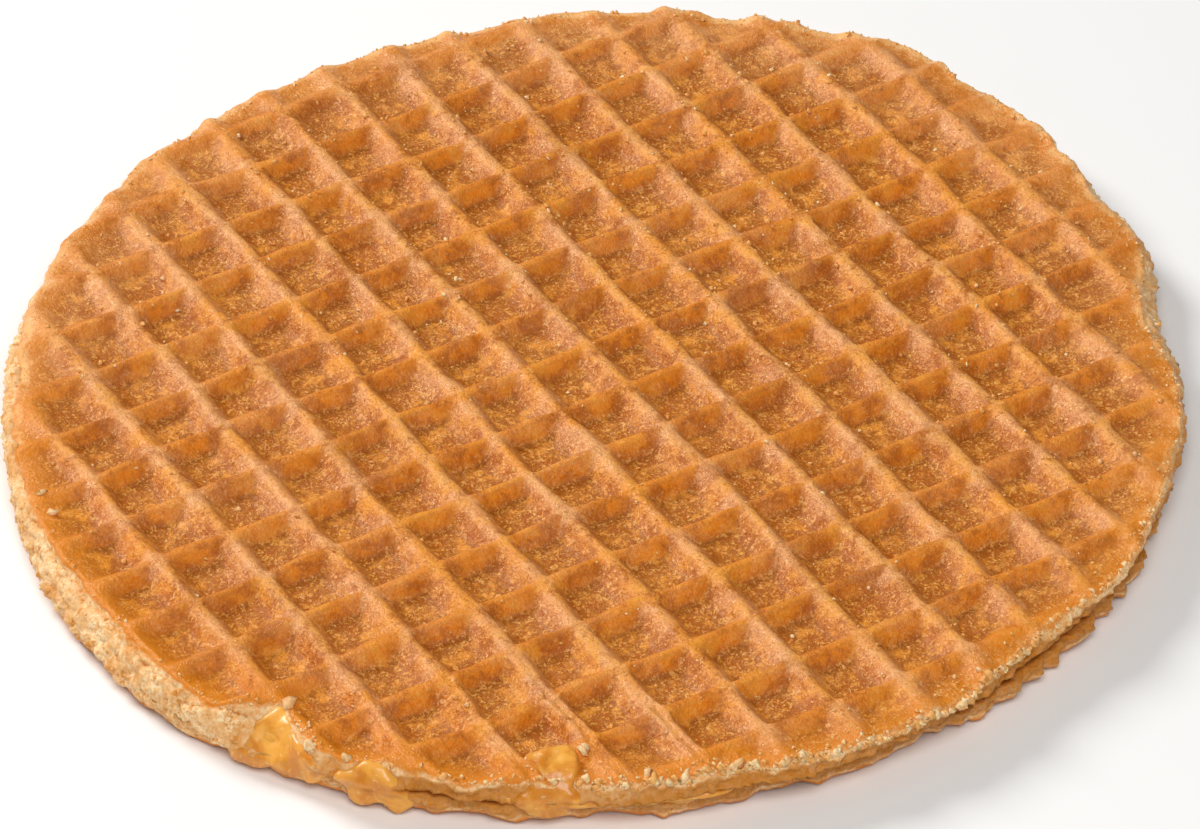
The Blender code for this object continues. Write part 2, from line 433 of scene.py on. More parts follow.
def bakedColour(n, s, grain, mark):
    # Floor, flank and crest follow the rise, broken up by the mottle and by how hot the iron was.
    rise, along, pale = mark["rise"], mark["along"], mark["pale"]
    height = n.plus(rise, n.times(n.minus(grain["Mottle"], 0.5), 0.6))
    # Ridges along Y take the copies with painted highlight, ridges along X the copies with painted shade.
    flank = n.mix(along, s["flankShaded"], s["flank"])
    colour = n.mix(n.between(height, -0.05, 0.20), s["floor"], flank)
    crest = n.mix(n.between(grain["Patches"], 0.40, 0.60), s["crest"], s["crestPale"])
    crest = n.mix(along, s["crestShaded"], crest)
    colour = n.mix(n.between(height, 0.60, 1.05), colour, crest)
    # Painted shade: the crust darkens round each ridge's foot.
    colour = n.mix(n.times(mark["footShade"], 0.5), colour, s["footShade"])
    colour = n.mix(n.between(grain["Patches"], 0.5, 0.72, 0.0, 0.6), colour, s["toast"])
    colour = n.mix(n.between(grain["Mottle"], 0.36, 0.52, 0.75, 0.0), colour, s["toast"])
    colour = n.mix(n.between(grain["Mottle"], 0.50, 0.68, 0.0, 0.7), colour, s["blond"])
    # The grain shows most on the floors and on the ridges along Y, and grease with its painted sheen on the
    # ridges.
    rough = n.between(along, 0.0, 0.6, 0.35, 1.0)
    rough = n.math("MAXIMUM", rough, n.between(rise, 0.05, 0.3, 1.0, 0.0))
    dark = n.times(rough, n.between(grain["Grain"], 0.36, 0.50, 0.70, 0.0))
    colour = n.mix(dark, colour, s["toast"])
    light = n.times(rough, n.between(grain["Grain"], 0.49, 0.62, 0.0, 0.8))
    colour = n.mix(light, colour, s["blond"])
    # Peach patches on the ridges' walls: partly grease, partly a painted sheen.
    greaseAndSheen = n.times(n.between(grain["Oil"], 0.46, 0.60), n.between(rise, 0.1, 0.5, 0.08, 0.55))
    greaseAndSheen = n.times(greaseAndSheen, n.between(along, 0.0, 0.7, 0.35, 1.0))
    greaseAndSheen = n.times(greaseAndSheen, n.between(grain["Grain"], 0.40, 0.55, 0.4, 1.0))
    colour = n.mix(greaseAndSheen, colour, s["peach"])
    # The rim is more even, and paler or deeper by the pale mark, with a broken fringe.
    colour = n.mix(n.times(mark["edge"], n.between(pale, -0.6, 0.3, 0.85, 0.8)), colour, s["rim"])
    colour = n.mix(n.times(pale, n.between(grain["Mottle"], 0.35, 0.6, 0.1, 0.6)), colour, s["peach"])
    fringe = n.plus(n.times(grain["Mottle"], 0.9), n.times(pale, 0.4))
    fringe = n.between(n.plus(mark["edge"], fringe), 1.40, 1.75)
    colour = n.mix(n.times(fringe, 0.8), colour, s["fringe"])
    # Pale specks: partly fat and sugar, partly painted glints, palest on the ridges along Y.
    specks = n.mix(rough, s["specks"], s["specksPale"])
    specks = n.mix(n.between(rise, 0.05, 0.4), s["specks"], specks)
    rough = n.times(rough, n.between(rise, 0.05, 0.5, 0.42, 0.58))
    return n.mix(n.times(grain["Specks"], rough), colour, specks)


def tornColour(n, s, where, pits, soak):
    # Pale crumb with deeper pits and hollows, ochre where the syrup reached it.
    size = s["crumbSizes"]
    grain = n.between(n.noise(where, size["grain"], detail=3.0, rough=0.65), 0.36, 0.62)
    colour = n.mix(grain, s["crumbDeep"], s["crumb"])
    patches = n.between(n.noise(where, size["patches"], detail=2.0), 0.42, 0.64, 0.0, 0.55)
    colour = n.mix(patches, colour, s["crumbTan"])
    hollows = n.between(n.noise(where, size["hollows"], detail=3.0), 0.52, 0.66, 0.0, 0.6)
    colour = n.mix(hollows, colour, s["pit"])
    colour = n.mix(n.between(pits, 0.55, 0.63, 0.0, 0.85), colour, s["pit"])
    return n.mix(n.times(soak, n.between(pits, 0.3, 0.7, 1.0, 0.7)), colour, s["soaked"])


def makeCrust(name, s, roughness):
    # The points' marks: rise (0 on a pocket's floor, 1 on a crest), the foot mark (1 round a ridge's foot,
    # where painted shade darkens the crust), along (1 on ridges along Y, 0 on ridges along X, choosing
    # between the copies with painted highlight and those with painted shade), torn (1 on the torn inside),
    # edge (1 at the rim), pale (above 0 where the rim is paler, below 0 where it is deeper), soak (1 in
    # syrup).
    material, n, shader = newMaterial(name, roughness, specular=s["specular"], scatter=s["scatter"])
    shader.inputs["Specular Tint"].default_value = s["gleam"]
    where = n.place()
    mark = {label: n.mark(label) for label in ("rise", "footShade", "along", "torn", "edge", "pale", "soak")}
    grain = n.group(grainGroup, Place=where, Amount=n.between(mark["rise"], 0.15, 0.9, 1.0, 0.6))
    pits = n.noise(where, s["crumbSizes"]["pits"], detail=4.0, rough=0.7)
    baked = bakedColour(n, s, grain, mark)
    torn = tornColour(n, s, where, pits, mark["soak"])
    n.link(n.mix(mark["torn"], baked, torn), shader.inputs["Base Color"])
    n.bump(shader, n.plus(grain["Bumps"], n.times(pits, mark["torn"])), *s["bump"])
    oily = n.between(grain["Oil"], 0.42, 0.60, roughness + 0.08, roughness - 0.08)
    n.link(n.plus(oily, n.times(mark["torn"], 0.2)), shader.inputs["Roughness"])
    return material


crustUpper = makeCrust("crustUpper", crustFinish, 0.38)
crustLower = makeCrust("crustLower", crustFinish, 0.46)

syrupFinish = {
    "deep": srgb(212, 130, 30),
    "light": srgb(240, 172, 70),
    "bubble": srgb(244, 206, 140),
    "roughness": 0.36,
    "scatter": 0.4,
    "coat": 0.1,
    "clouds": 2.6,  # size of the lighter clouds
    "bubbles": 0.5,
    "bump": (0.3, 0.15),
}


def makeSyrup(s):
    material, n, shader = newMaterial("caramelSyrup", s["roughness"], scatter=s["scatter"], coat=s["coat"])
    where = n.place()
    cloud = n.noise(where, s["clouds"], detail=4.0, rough=0.6, twist=0.8)
    fine = n.noise(where, s["bubbles"], detail=2.0)
    colour = n.mix(n.between(cloud, 0.35, 0.65), s["deep"], s["light"])
    colour = n.mix(n.between(fine, 0.62, 0.72, 0.0, 0.5), colour, s["bubble"])
    n.link(colour, shader.inputs["Base Color"])
    n.bump(shader, cloud, *s["bump"])
    return material


syrupMaterial = makeSyrup(syrupFinish)
print("crust and syrup mixed")

# Arcs round the rim are bell curves: (angle, width, height or strength).
upperWafer = {
    "outline": upperOutline,
    "pitch": (6.20, 6.02),
    "ridge": (0.28, 3.35),  # one crossing of the ridges, in the turned grid about the middle
    "turn": 0.0,  # of the grid
    "crest": (1.25, 0.96),  # width of a ridge's top, for the two ways the ridges run
    "flank": (0.90, 0.80),  # and of each of its sloping sides
    "knees": (0.80, 0.26),  # rounding of the slopes' tops and feet, as shares of the slope
    "pocket": 1.32,  # depth of a pocket
    "shallow": 0.34,  # its share at the rim
    "shallowBand": 7.5,  # and how far in it reaches its full depth
    "faded": [(35, 70, 5.0), (140, 25, 2.5), (210, 42, -5.5)],  # farther or nearer at these arcs
    "softBand": 11.0,  # the pockets' corners are rounder this near the rim
    "fall": (0.18, 1.8),  # the face sinks by this much over this last bit
    "sway": 0.40,  # how far the ridges stray from straight
    "ragged": 0.34,  # how rough the rim is
    "shell": 0.40,  # rounding of the crust's edge
    "lip": 0.55,  # how far the torn edge hangs over the syrup
    "noLip": [(300, 40, 1.0)],  # arcs where it doesn't
    "under": [(226, 6, 0.8), (252, 11, 0.6), (276, 14, 0.7), (302, 26, 0.9)],  # it slopes in below here
    "lean": 0.75,  # the torn side leans in by this much at the top
    "chips": [(207, 2.5, 1.0), (252, 5, 0.8), (284, 4, 1.0), (339, 7, 0.9)],  # and by more here
    "soaked": [(195, 9, 0.35), (226, 8, 1.0), (249, 12, 1.0), (25, 8, 0.3),
               (272, 14, 0.9), (304, 26, 1.0)],  # arcs of the side stained by syrup
    "frayed": [(290, 48, 1.0), (20, 25, 0.7)],  # arcs where the crust's edge is worn to the crumb
    "pale": [(40, 70, 0.6), (138, 24, 0.4)],  # arcs where the crust near the rim is paler
    "deep": [(205, 36, 1.0)],  # and where it is deeper, where ridges of both ways take the painted-shade copies of those along X
    "paleBand": 14.0,  # how near the rim that is
    "teeth": [],  # arcs where the cut ridges stick out
    # Folds: (x, y, how wide, across x or y, shift from the ridge's middle)
    "folds": [(-29.0, -34.0, 6.0, 0, 0.05), (-20.0, -40.0, 5.0, 0, 0.05), (-26.0, -34.0, 4.0, 1, 0.0)],
    "seed": 1,
}
lowerWafer = dict(upperWafer, outline=lowerOutline, ridge=(1.40, 4.44), turn=56.0, seed=51, pale=[],
                  folds=[], teeth=[(300, 48, 0.60)], noLip=[], under=[], lean=0.25, chips=[], frayed=[],
                  soaked=[(198, 7, 0.35), (226, 12, 0.8), (256, 20, 0.9), (296, 24, 0.9), (340, 24, 0.7)])

gridOffsets = np.array([-2.3, -1.55, -1.25, -1.02, -0.8, -0.56, -0.3, 0.0,
                        0.3, 0.56, 0.8, 1.02, 1.25, 1.55, 2.3, 3.1])  # from a ridge's middle
gridPitch = 6.2  # the pitch that these offsets are for
gridMargin = 1.25  # the square grid stops this far inside the rim
rimCount = 1440  # points round the rim


def sway(s, x, y):  # how far a point of the pattern is moved, in the pattern's own frame
    flat = np.stack([x, y, np.zeros_like(x)], axis=1)
    wide = np.stack([noise(flat, 21.0, s["seed"]), noise(flat, 21.0, s["seed"] + 1)])
    near = np.stack([noise(flat, 6.0, s["seed"] + 2), noise(flat, 6.0, s["seed"] + 3)])
    return s["sway"] * (wide + 0.8 * near)


def toPart(s, x, y):  # pattern's frame to the part's
    c, d = math.cos(math.radians(s["turn"])), math.sin(math.radians(s["turn"]))
    return stack["middle"][0] + c * x - d * y, stack["middle"][1] + d * x + c * y


def toPattern(s, x, y):  # and back, with the sway taken off
    c, d = math.cos(math.radians(s["turn"])), math.sin(math.radians(s["turn"]))
    x, y = x - stack["middle"][0], y - stack["middle"][1]
    x, y = c * x + d * y, -d * x + c * y
    moved = sway(s, x, y)
    return x - moved[0], y - moved[1]


def raggedRadius(s, angle):
    # The outline, plus noise for its chips and crumbs, plus a row of teeth 2.6 mm apart, with noise,
    # where the cut ridges stick out.
    radius = outlineRadius(s["outline"], angle)
    at = pointsAround(radius, angle)
    chips = noise(at, 3.1, s["seed"] + 9) * 0.5 + noise(at, 1.2, s["seed"] + 10) * 0.35
    way = radius * np.radians(angle) + 1.6 * noise(at, 4.0, s["seed"] + 13)
    tooth = np.abs((way / 2.6) % 1.0 * 2 - 1) * 1.4 - 0.7 + 0.9 * noise(at, 3.3, s["seed"] + 14)
    return (radius + s["ragged"] * (chips + noise(at, 0.6, s["seed"] + 11) * 0.25)
            + tooth * np.clip(bumpsAt(angle, s["teeth"]), 0, 1))


def leanAt(s, angle):
    # How far the crust's edge lies inside the outline: the lean times 0.9 and noise, more at a chip.
    at = pointsAround(outlineRadius(s["outline"], angle), angle)
    return s["lean"] * np.clip(0.9 + 0.9 * layeredNoise(at, 4.5, s["seed"] + 32)
                               + bumpsAt(angle, s["chips"]), 0.1, 2.2)


def bakedDepth(s, px, py, margin):
    # Depth of the baked face below the crests, and the marks rise, foot (for the painted shade round a
    # ridge's foot) and along. Across a ridge a rounded ramp leads from crest to floor, and where the ramps
    # of both ways meet, the lower one holds, softened a little, so that the corners are mitred. This dip
    # times the pocket's depth, which grows away from the rim and differs by pocket, plus noise, a fall
    # at the rim, and for each fold a cut between two low banks.
    flat = np.stack([px, py, np.zeros_like(px)], axis=1)
    ripple = 0.24 * noise(flat, 2.6, s["seed"] + 4) + 0.10 * noise(flat, 1.0, s["seed"] + 12)
    away, footShade = [], 0.0
    for k, value in enumerate((px, py)):
        pitch = s["pitch"][k]
        off = np.abs((value - s["ridge"][k] + pitch / 2) % pitch - pitch / 2)
        away.append(ramp((off + ripple - s["crest"][k] / 2) / s["flank"][k], *s["knees"]))
        foot = s["crest"][k] / 2 + s["flank"][k]
        # Closeness to a ridge's foot, the mask of the painted shade there.
        footShade = np.maximum(footShade, np.exp(-((off - foot) / 0.55)**2))
    cell = [np.floor((v - r) / p) for v, r, p in zip((px, py), s["ridge"], s["pitch"])]
    perCell = noise(np.stack([cell[0] * 7.3, cell[1] * 7.3, cell[0] * 0.0], axis=1), 2.0, s["seed"])
    band = s["shallowBand"] + bumpsAt(np.degrees(np.arctan2(py, px)) + s["turn"], s["faded"])
    shallow = s["shallow"] + (1 - s["shallow"]) * smooth(margin / band)
    apart = away[0] - away[1]
    soft = 0.02 + 0.16 * (1 - smooth(margin / s["softBand"]))
    dip = np.clip((away[0] + away[1] - np.sqrt(apart**2 + soft) + np.sqrt(soft)) / 2, 0.0, 1.0)
    dip = dip * np.minimum(1.0, 4 * np.minimum(away[0], away[1]))
    depth = s["pocket"] * shallow * (1 + 0.12 * perCell) * dip
    depth += dip * 0.10 * layeredNoise(flat, 1.3, s["seed"] + 5)
    depth += 0.08 + 0.12 * layeredNoise(flat, 3.6, s["seed"] + 6, 4)
    depth += s["fall"][0] * (1 - smooth(margin / s["fall"][1]))**2
    for fx, fy, wide, axis, shift in s["folds"]:
        value, ridge, pitch = (px, py)[axis], s["ridge"][axis], s["pitch"][axis]
        off = (value - ridge - shift + ripple * 1.6 + pitch / 2) % pitch - pitch / 2
        there = smooth(1.6 - np.hypot(px - fx, py - fy) / wide)
        depth += there * (0.28 * np.exp(-(off / 0.24)**2) - 0.18 * np.exp(-(np.abs(off) - 0.6)**2 / 0.12))
    return np.maximum(depth, 0.0), 1.0 - dip, footShade * smooth(dip / 0.5), smooth(0.75 + 2 * (away[1] - away[0]))


def squareGrid(s):
    # The pattern's own lines, close together on the ridges' sides, kept inside the rim.
    lines = []
    for ridge, pitch in zip(s["ridge"], s["pitch"]):
        cells = np.arange(-9, 10)[:, None] * pitch
        lines.append((ridge + cells + gridOffsets * pitch / gridPitch).ravel())
    gx, gy = (g.ravel() for g in np.meshgrid(*lines, indexing="ij"))
    moved = sway(s, gx, gy)
    x, y = toPart(s, gx + moved[0], gy + moved[1])
    radius, angle = polar(x, y)
    margin = outlineRadius(s["outline"], angle) - leanAt(s, angle) - radius
    quads = gridFaces(len(lines[0]), len(lines[1]))
    quads = quads[(margin > gridMargin)[quads].all(axis=1)]
    used, quads = np.unique(quads, return_inverse=True)
    quads = quads.reshape(-1, 4)
    return x[used], y[used], gx[used], gy[used], margin[used], quads


def sideRings(shell):
    # From the grid's border to the middle of the torn face: (inset from the crust's edge, share of
    # the way down the side, depth below the baked face). A quarter circle rounds the crust's edge.
    rings = [(0.70, 0.0, 0.0), (0.52, 0.0, 0.0)]
    for turn in np.radians([0.0, 22.0, 45.0, 68.0, 90.0]):
        rings.append((shell * (1 - math.sin(turn)), 0.0, shell * (1 - math.cos(turn))))
    rings += [(0.0, share, shell) for share in (0.10, 0.20, 0.30, 0.41, 0.52, 0.64, 0.76, 0.88, 1.0)]
    return rings + [(inset, 1.0, shell) for inset in (0.45, 1.0, 1.6, 3.0, 12.0, 30.0)]


def makeWafer(name, node, s, material, faceHeight, up):
    # The grid lies at the baked depth. A side ring lies between that depth, rounded at the crust's
    # edge, and the torn face, by its share. The side leans in by the lean times (1 - share)^1.4, and
    # is heaped in round crumbs. The torn face is flat, with a lip that hangs over the syrup.
    x, y, gx, gy, margin, quads = squareGrid(s)
    count = len(x)
    # The border is made to run one way only, so that it can be joined to the rings. Where it steps
    # in, it is joined one rim point later, which keeps the joining triangles from folding over.
    loop = borderLoop(quads, count)
    loopRadius, loopAngle = polar(x[loop], y[loop])
    first = int(np.argmin(loopAngle))
    loop, loopRadius, loopAngle = (np.roll(v, -first) for v in (loop, loopRadius, loopAngle))
    loopAngle = np.maximum.accumulate(loopAngle)
    x[loop], y[loop] = aroundMiddle(loopRadius, loopAngle)
    gx[loop], gy[loop] = toPattern(s, x[loop], y[loop])
    stepsIn = np.roll(loopRadius, 1) - loopRadius > 0.1
    loopAngle = np.maximum.accumulate(loopAngle + stepsIn * 360.0 / rimCount)
    depth, rise, footShade, along = bakedDepth(s, gx, gy, margin)
    angle = (np.arange(rimCount) + 0.5) * 360.0 / rimCount
    lean, under, shell = leanAt(s, angle), bumpsAt(angle, s["under"]), s["shell"]
    radius = raggedRadius(s, angle) - lean
    lip = 0.5 + 0.9 * layeredNoise(pointsAround(radius, angle), 3.3, s["seed"] + 30)
    lip = s["lip"] * np.clip(lip, 0.0, 1.3)
    lip = lip * (1 - 0.9 * np.clip(bumpsAt(angle, s["noLip"]), 0, 1))
    parts = [np.stack([x, y, depth], axis=1)]
    marks = {"rise": [rise], "footShade": [footShade], "along": [along], "torn": [np.zeros(count)],
             "edge": [1 - smooth(margin / 4.0)], "soak": [np.zeros(count)]}
    rings = sideRings(shell)
    for inset, share, added in rings:
        inset = inset - lean * (1 - (1 - share)**1.4) + under * float(smooth(share * 1.3))
        rx, ry = aroundMiddle(radius - inset, angle)
        gap = np.clip(inset, 0.0, 3.0)
        px, py = toPattern(s, rx, ry)
        topDepth, topRise, topFootShade, topAlong = bakedDepth(s, px, py, gap)
        topDepth = topDepth + added
        bottom = stack["wafer"] + lip * (1 - smooth((gap - 0.2) / 1.2))
        ringDepth = topDepth + (bottom - topDepth) * share
        at = np.stack([rx, ry, ringDepth], axis=1)
        heap = 0.62 * grains(at, 0.95, s["seed"] + 20) + 0.30 * grains(at, 0.5, s["seed"] + 21)
        crumble = heap - 0.42 + 0.30 * layeredNoise(at, 2.6, s["seed"] + 24)
        strength = smooth((added / shell - 0.3) / 0.7) * (gap < 1.3) * (0.3 + 0.7 * smooth(share * 5))
        parts.append(pointsAround(radius - inset + crumble * strength, angle, ringDepth))
        fray = 0.9 * layeredNoise(at, 1.1, s["seed"] + 26) + 0.8 * bumpsAt(angle, s["frayed"])
        torn = smooth((added / shell * (gap < 2) + share * 4 - 0.6 + fray) / 0.6) * (added > 0)
        arcs = np.clip(bumpsAt(angle, s["soaked"]), 0, 1) * smooth((share * 4 - 0.2) / 0.8)
        soak = np.clip(float(smooth((share - 0.6) / 0.6)) * 0.6 + arcs, 0, 1)
        ring = (topRise, topFootShade, topAlong, torn, np.ones(rimCount), soak)
        for values, more in zip(marks.values(), ring):
            values.append(more)
    parts.append(np.array([[*stack["middle"], stack["wafer"]]]))
    for values in marks.values():
        values.append(np.zeros(1))
    vertices = np.concatenate(parts)
    marks = {label: np.concatenate(values) for label, values in marks.items()}
    place, turn = polar(vertices[:, 0], vertices[:, 1])
    near = smooth(1 - (outlineRadius(s["outline"], turn) - place) / s["paleBand"])
    marks["pale"] = (bumpsAt(turn, s["pale"]) - bumpsAt(turn, s["deep"])) * near
    marks["along"] = marks["along"] * (1 - bumpsAt(turn, s["deep"]) * near)
    bands = [quads, stitchLoops(loop, loopAngle, count + np.arange(rimCount), angle)]
    last = count + (len(rings) - 1) * rimCount
    for k in range(count, last, rimCount):
        bands.append(turnedOver(ringFaces(k, k + rimCount, rimCount)))
    bands.append(turnedOver(fanFaces(last, len(vertices) - 1, rimCount)))
    faces = np.concatenate(bands)
    if up:
        vertices[:, 2] = faceHeight - vertices[:, 2]
    else:
        vertices[:, 2] = faceHeight + vertices[:, 2]
        faces = turnedOver(faces)
    piece = makePiece(name, vertices, faces, material, marks)
    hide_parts(node)


makeWafer("upperWafer", "upper_wafer", upperWafer, crustUpper, stack["upperFace"], True)
makeWafer("lowerWafer", "lower_wafer", lowerWafer, crustLower, 0.0, False)

syrupLayer = {
    "outline": syrupOutline,
    "seed": 77,
    "count": 720,  # points round the rim
    "back": 0.9,  # it stays at most this far behind the wafers' edges
    "press": 0.05,  # and reaches this far into their crumb
    "lumps": 0.5,
    # Rings from the middle of its top over its round edge to its underside: (inset, share of its height)
    "rings": [(30, 1.0), (15, 1.0), (5, 1.0), (2, 1.0), (1.0, 1.0), (0.45, 0.92), (0.12, 0.70), (0.0, 0.5),
              (0.12, 0.30), (0.45, 0.08), (1.0, 0.0), (2, 0.0), (5, 0.0), (15, 0.0), (30, 0.0)],
}


def makeSyrupLayer(s):
    # A disc with a round edge. Its radius is its outline's, or the smaller wafer's less "back" where
    # that is more, plus layered noise near the edge.
    count = s["count"]
    angle = (np.arange(count) + 0.5) * 360.0 / count
    edges = np.minimum(outlineRadius(upperOutline, angle), outlineRadius(lowerOutline, angle))
    radius = np.maximum(outlineRadius(s["outline"], angle), edges - s["back"])
    low, high = stack["syrup"][0] - s["press"], stack["syrup"][1] + s["press"]
    parts = []
    for inset, share in s["rings"]:
        at = pointsAround(radius - inset, angle, share)
        lumps = s["lumps"] * layeredNoise(at, 2.4, s["seed"]) * (inset < 3)
        parts.append(pointsAround(radius - inset + lumps, angle, low + (high - low) * share))
    parts.append(np.array([[*stack["middle"], high], [*stack["middle"], low]]))
    vertices = np.concatenate(parts)
    last = (len(s["rings"]) - 1) * count
    bands = [turnedOver(ringFaces(k, k + count, count)) for k in range(0, last, count)]
    bands.append(fanFaces(0, len(vertices) - 2, count))
    bands.append(turnedOver(fanFaces(last, len(vertices) - 1, count)))
    piece = makePiece("syrupLayer", vertices, np.concatenate(bands), syrupMaterial)
    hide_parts("syrup")


makeSyrupLayer(syrupLayer)

# What lies over the side. Each spot is (angle, way, half width, half length, height): way is
# millimetres from the crust's edge, below 0 on the top face and above 0 down the side, and height
# is how far the spot stands out. Half width and length reach the spot's outline.
syrupRuns = {
    "spots": [
        (234.3, -1.2, 3.3, 3.3, 0.28),  # the bright pool on the rim
        (234.4, 2.2, 4.2, 2.4, 0.32),
        (219.0, 1.5, 2.7, 2.4, 0.45),  # the lumpy drop down the side
        (218.3, 3.1, 2.3, 2.3, 0.62),
        (220.6, 3.4, 1.9, 2.0, 0.55),
        (217.0, 2.2, 1.7, 1.8, 0.50),
        (208.5, 1.9, 3.0, 2.6, 0.30),  # the caramel sheet
        (211.4, 2.4, 3.6, 2.4, 0.35),
        (206.6, 3.2, 3.2, 2.0, 0.30),
        (240.8, 2.7, 4.4, 1.1, 0.36),  # the band that swelled out between the rounds
        (246.8, 2.7, 4.2, 1.0, 0.28),
        (25.5, 0.9, 2.6, 1.6, 0.30),  # yellow spots on the far rim
        (52.5, 0.6, 2.0, 1.3, 0.35),
    ],
    "stray": 0.30,  # how far the spots' outlines wander
    "lumps": 0.26,  # height of their uneven swellings
    "heaps": 0.12,  # and of the grains on them
    "top": -5.0,  # spots reach no higher than this way
    "corner": 1.3,  # rounding at the crust's edge
}

crumbBank = {  # loose crumb that fills the seam between the rounds
    # A spot every three degrees. The sine only scatters their ways a little.
    "spots": [(angle, 2.3 + 0.3 * math.sin(angle), 3.4, min(2.1, 0.15 * (angle - 134)), 0.30)
              for angle in range(138, 206, 3)],
    "stray": 0.55,
    "lumps": 0.10,
    "heaps": 0.55,
    "top": -0.3,
    "corner": 0.5,
}

sideSkin = {
    "step": 0.22,  # between a skin's points
    "ways": (-4.5, 5.0),  # from 4.5 mm inside the rim, over the edge, down to the table
    "sink": (1.1, 1.2),  # it lies this deep where it has no spot, and so much more on the top face
    "thick": 0.5,  # of the skin where it is sunk
    "seam": 0.10,  # its top face starts this far below the crests
    "table": 0.05,  # no lower than this
    "under": 3.3,  # where it lies in the wafer it stays below the pockets, at this height
    "seed": 90,
}


def skinRuns(spots):  # the runs of angles that the spots cover
    runs = []
    reach = [(angle, math.degrees(wide / stack["radius"]) + 0.4) for angle, _, wide, _, _ in spots]
    for low, high in sorted((angle - half, angle + half) for angle, half in reach):
        if runs and low < runs[-1][1]:
            runs[-1][1] = max(runs[-1][1], high)
        else:
            runs.append([low, high])
    return runs


def skinPatch(s, low, high):
    # A skin over the side from one angle to another. Way w gives inset (r - w) / 2 and depth
    # (r + w) / 2 with r = sqrt(w^2 + corner^2), which turns the corner softly. It lies sunk in the
    # side, and each spot pushes it out in a soft S from the spot's outline, plus noise and grains.
    # A second skin within it and a wall round both close the piece.
    k = sideSkin
    angles = np.linspace(low, high, int((high - low) / math.degrees(k["step"] / stack["radius"])) + 2)
    ways = np.arange(*k["ways"], k["step"])
    a, w = (g.ravel() for g in np.meshgrid(angles, ways, indexing="ij"))
    corner = np.hypot(w, s["corner"])
    inset, depth = (corner - w) / 2, (corner + w) / 2
    outward, upward = (1 + w / corner) / 2, (1 - w / corner) / 2
    length = np.hypot(outward, upward)
    below = smooth((depth - 1.8) / 1.6)
    radius = outlineRadius(upperOutline, a) * (1 - below) + outlineRadius(lowerOutline, a) * below
    radius = radius - leanAt(upperWafer, a) * np.clip(1 - (depth - 0.3) / 1.7, 0.0, 1.0)**1.4
    flat = pointsAround(radius - inset, a, depth)
    stray = s["stray"] * layeredNoise(flat, 1.8, k["seed"])
    sink = k["sink"][0] + k["sink"][1] * smooth((inset - 0.3) / 0.7)
    push = np.zeros_like(a)
    for angle, way, wide, long, high in s["spots"]:
        across = np.radians(angleApart(a, angle)) * stack["radius"]
        off = np.hypot(across / wide, (w - way) / long) + stray
        push = np.maximum(push, (sink + high) * smooth((1 - off) / 0.42)**0.8)
    push = push * smooth((w - s["top"]) / 0.6)
    heaps = grains(flat, 0.95, k["seed"] + 5) + 0.5 * grains(flat, 0.5, k["seed"] + 6) - 0.75
    uneven = s["lumps"] * layeredNoise(flat, 1.2, k["seed"] + 4) + s["heaps"] * heaps
    push = push - sink + uneven * (push > 0)
    skins = []
    for rise in (push, -sink - k["thick"]):
        z = np.maximum(stack["upperFace"] - k["seam"] - depth + upward / length * rise, k["table"])
        sunk = np.clip(-rise / sink, 0.0, 1.0)
        z += (np.minimum(z, k["under"]) - z) * smooth(sunk * 1.5)
        skins.append(pointsAround(radius - inset + outward / length * rise, a, z))
    quads, half = gridFaces(len(angles), len(ways)), len(a)
    border = borderLoop(quads, half)
    after = np.roll(border, -1)
    wall = np.stack([after, border, border + half, after + half], axis=1)
    return np.concatenate(skins), np.concatenate([quads, quads[:, ::-1] + half, wall])


def makeSideSkin(name, material, s):
    vertices, bands, count = [], [], 0
    for low, high in skinRuns(s["spots"]):
        points, quads = skinPatch(s, low, high)
        vertices.append(points)
        bands.append(quads + count)
        count += len(points)
    marks = {label: np.ones(count) for label in ("torn", "edge", "rise")}
    return makePiece(name, np.concatenate(vertices), turnedOver(np.concatenate(bands)), material, marks)


runsPiece = makeSideSkin("syrupRuns", syrupMaterial, syrupRuns)
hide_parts("syrup")
makeSideSkin("crumbBank", crustUpper, crumbBank)

crumbs = {
    "pale": {"seed": 5, "rim": 1500, "face": 560, "size": (0.14, 0.42), "colour": srgb(255, 220, 166)},
    "golden": {"seed": 9, "rim": 700, "face": 850, "size": (0.16, 0.50), "colour": srgb(240, 174, 94)},
    "share": 0.06,  # of the crumbs tried at the rim, so many stay anywhere
    "where": [(252, 22, 0.40), (282, 20, 0.16), (320, 20, 0.05), (210, 6, 0.15), (60, 25, 0.1),
              (150, 55, -0.06)],  # and more or fewer at these arcs
    "spill": [(262, 34, 1.0)],  # the arc where they hang over the edge and are larger
    "inset": (0.9, 0.40),  # shape and size of the spread of their distances from the edge
    "face": (35, 85, 47),  # crumbs on the face: middle angle, its spread, and how far out
    # (angle, distance inside the crust's edge, size) of the big ones
    "big": [(208.6, 0.5, 0.9), (213.0, -0.1, 1.0), (216.4, 0.2, 0.9), (237.6, 0.3, 1.2),
            (237.2, 3.3, 1.2), (241.0, -0.2, 0.9), (243.0, 0.6, 1.0), (246.3, 0.1, 1.0),
            (251.5, 0.2, 1.0), (168.8, 1.0, 0.9), (171.6, 1.3, 0.8)],
    "stretch": (0.45, 1.30),  # of a crumb in each of its three ways
    "dent": 0.52,  # of each of its points, as a share
    "burnt": srgb(206, 146, 84),  # darker grain of a crumb
    "golds": srgb(232, 160, 82),  # and its golden side
    "roughness": 0.6,
    "specular": 0.4,
    "scatter": 0.2,
    "bump": (0.9, 0.12),
}


def crustEdge(angle):  # radius of the upper round's crust
    return outlineRadius(upperOutline, angle) - leanAt(upperWafer, angle)


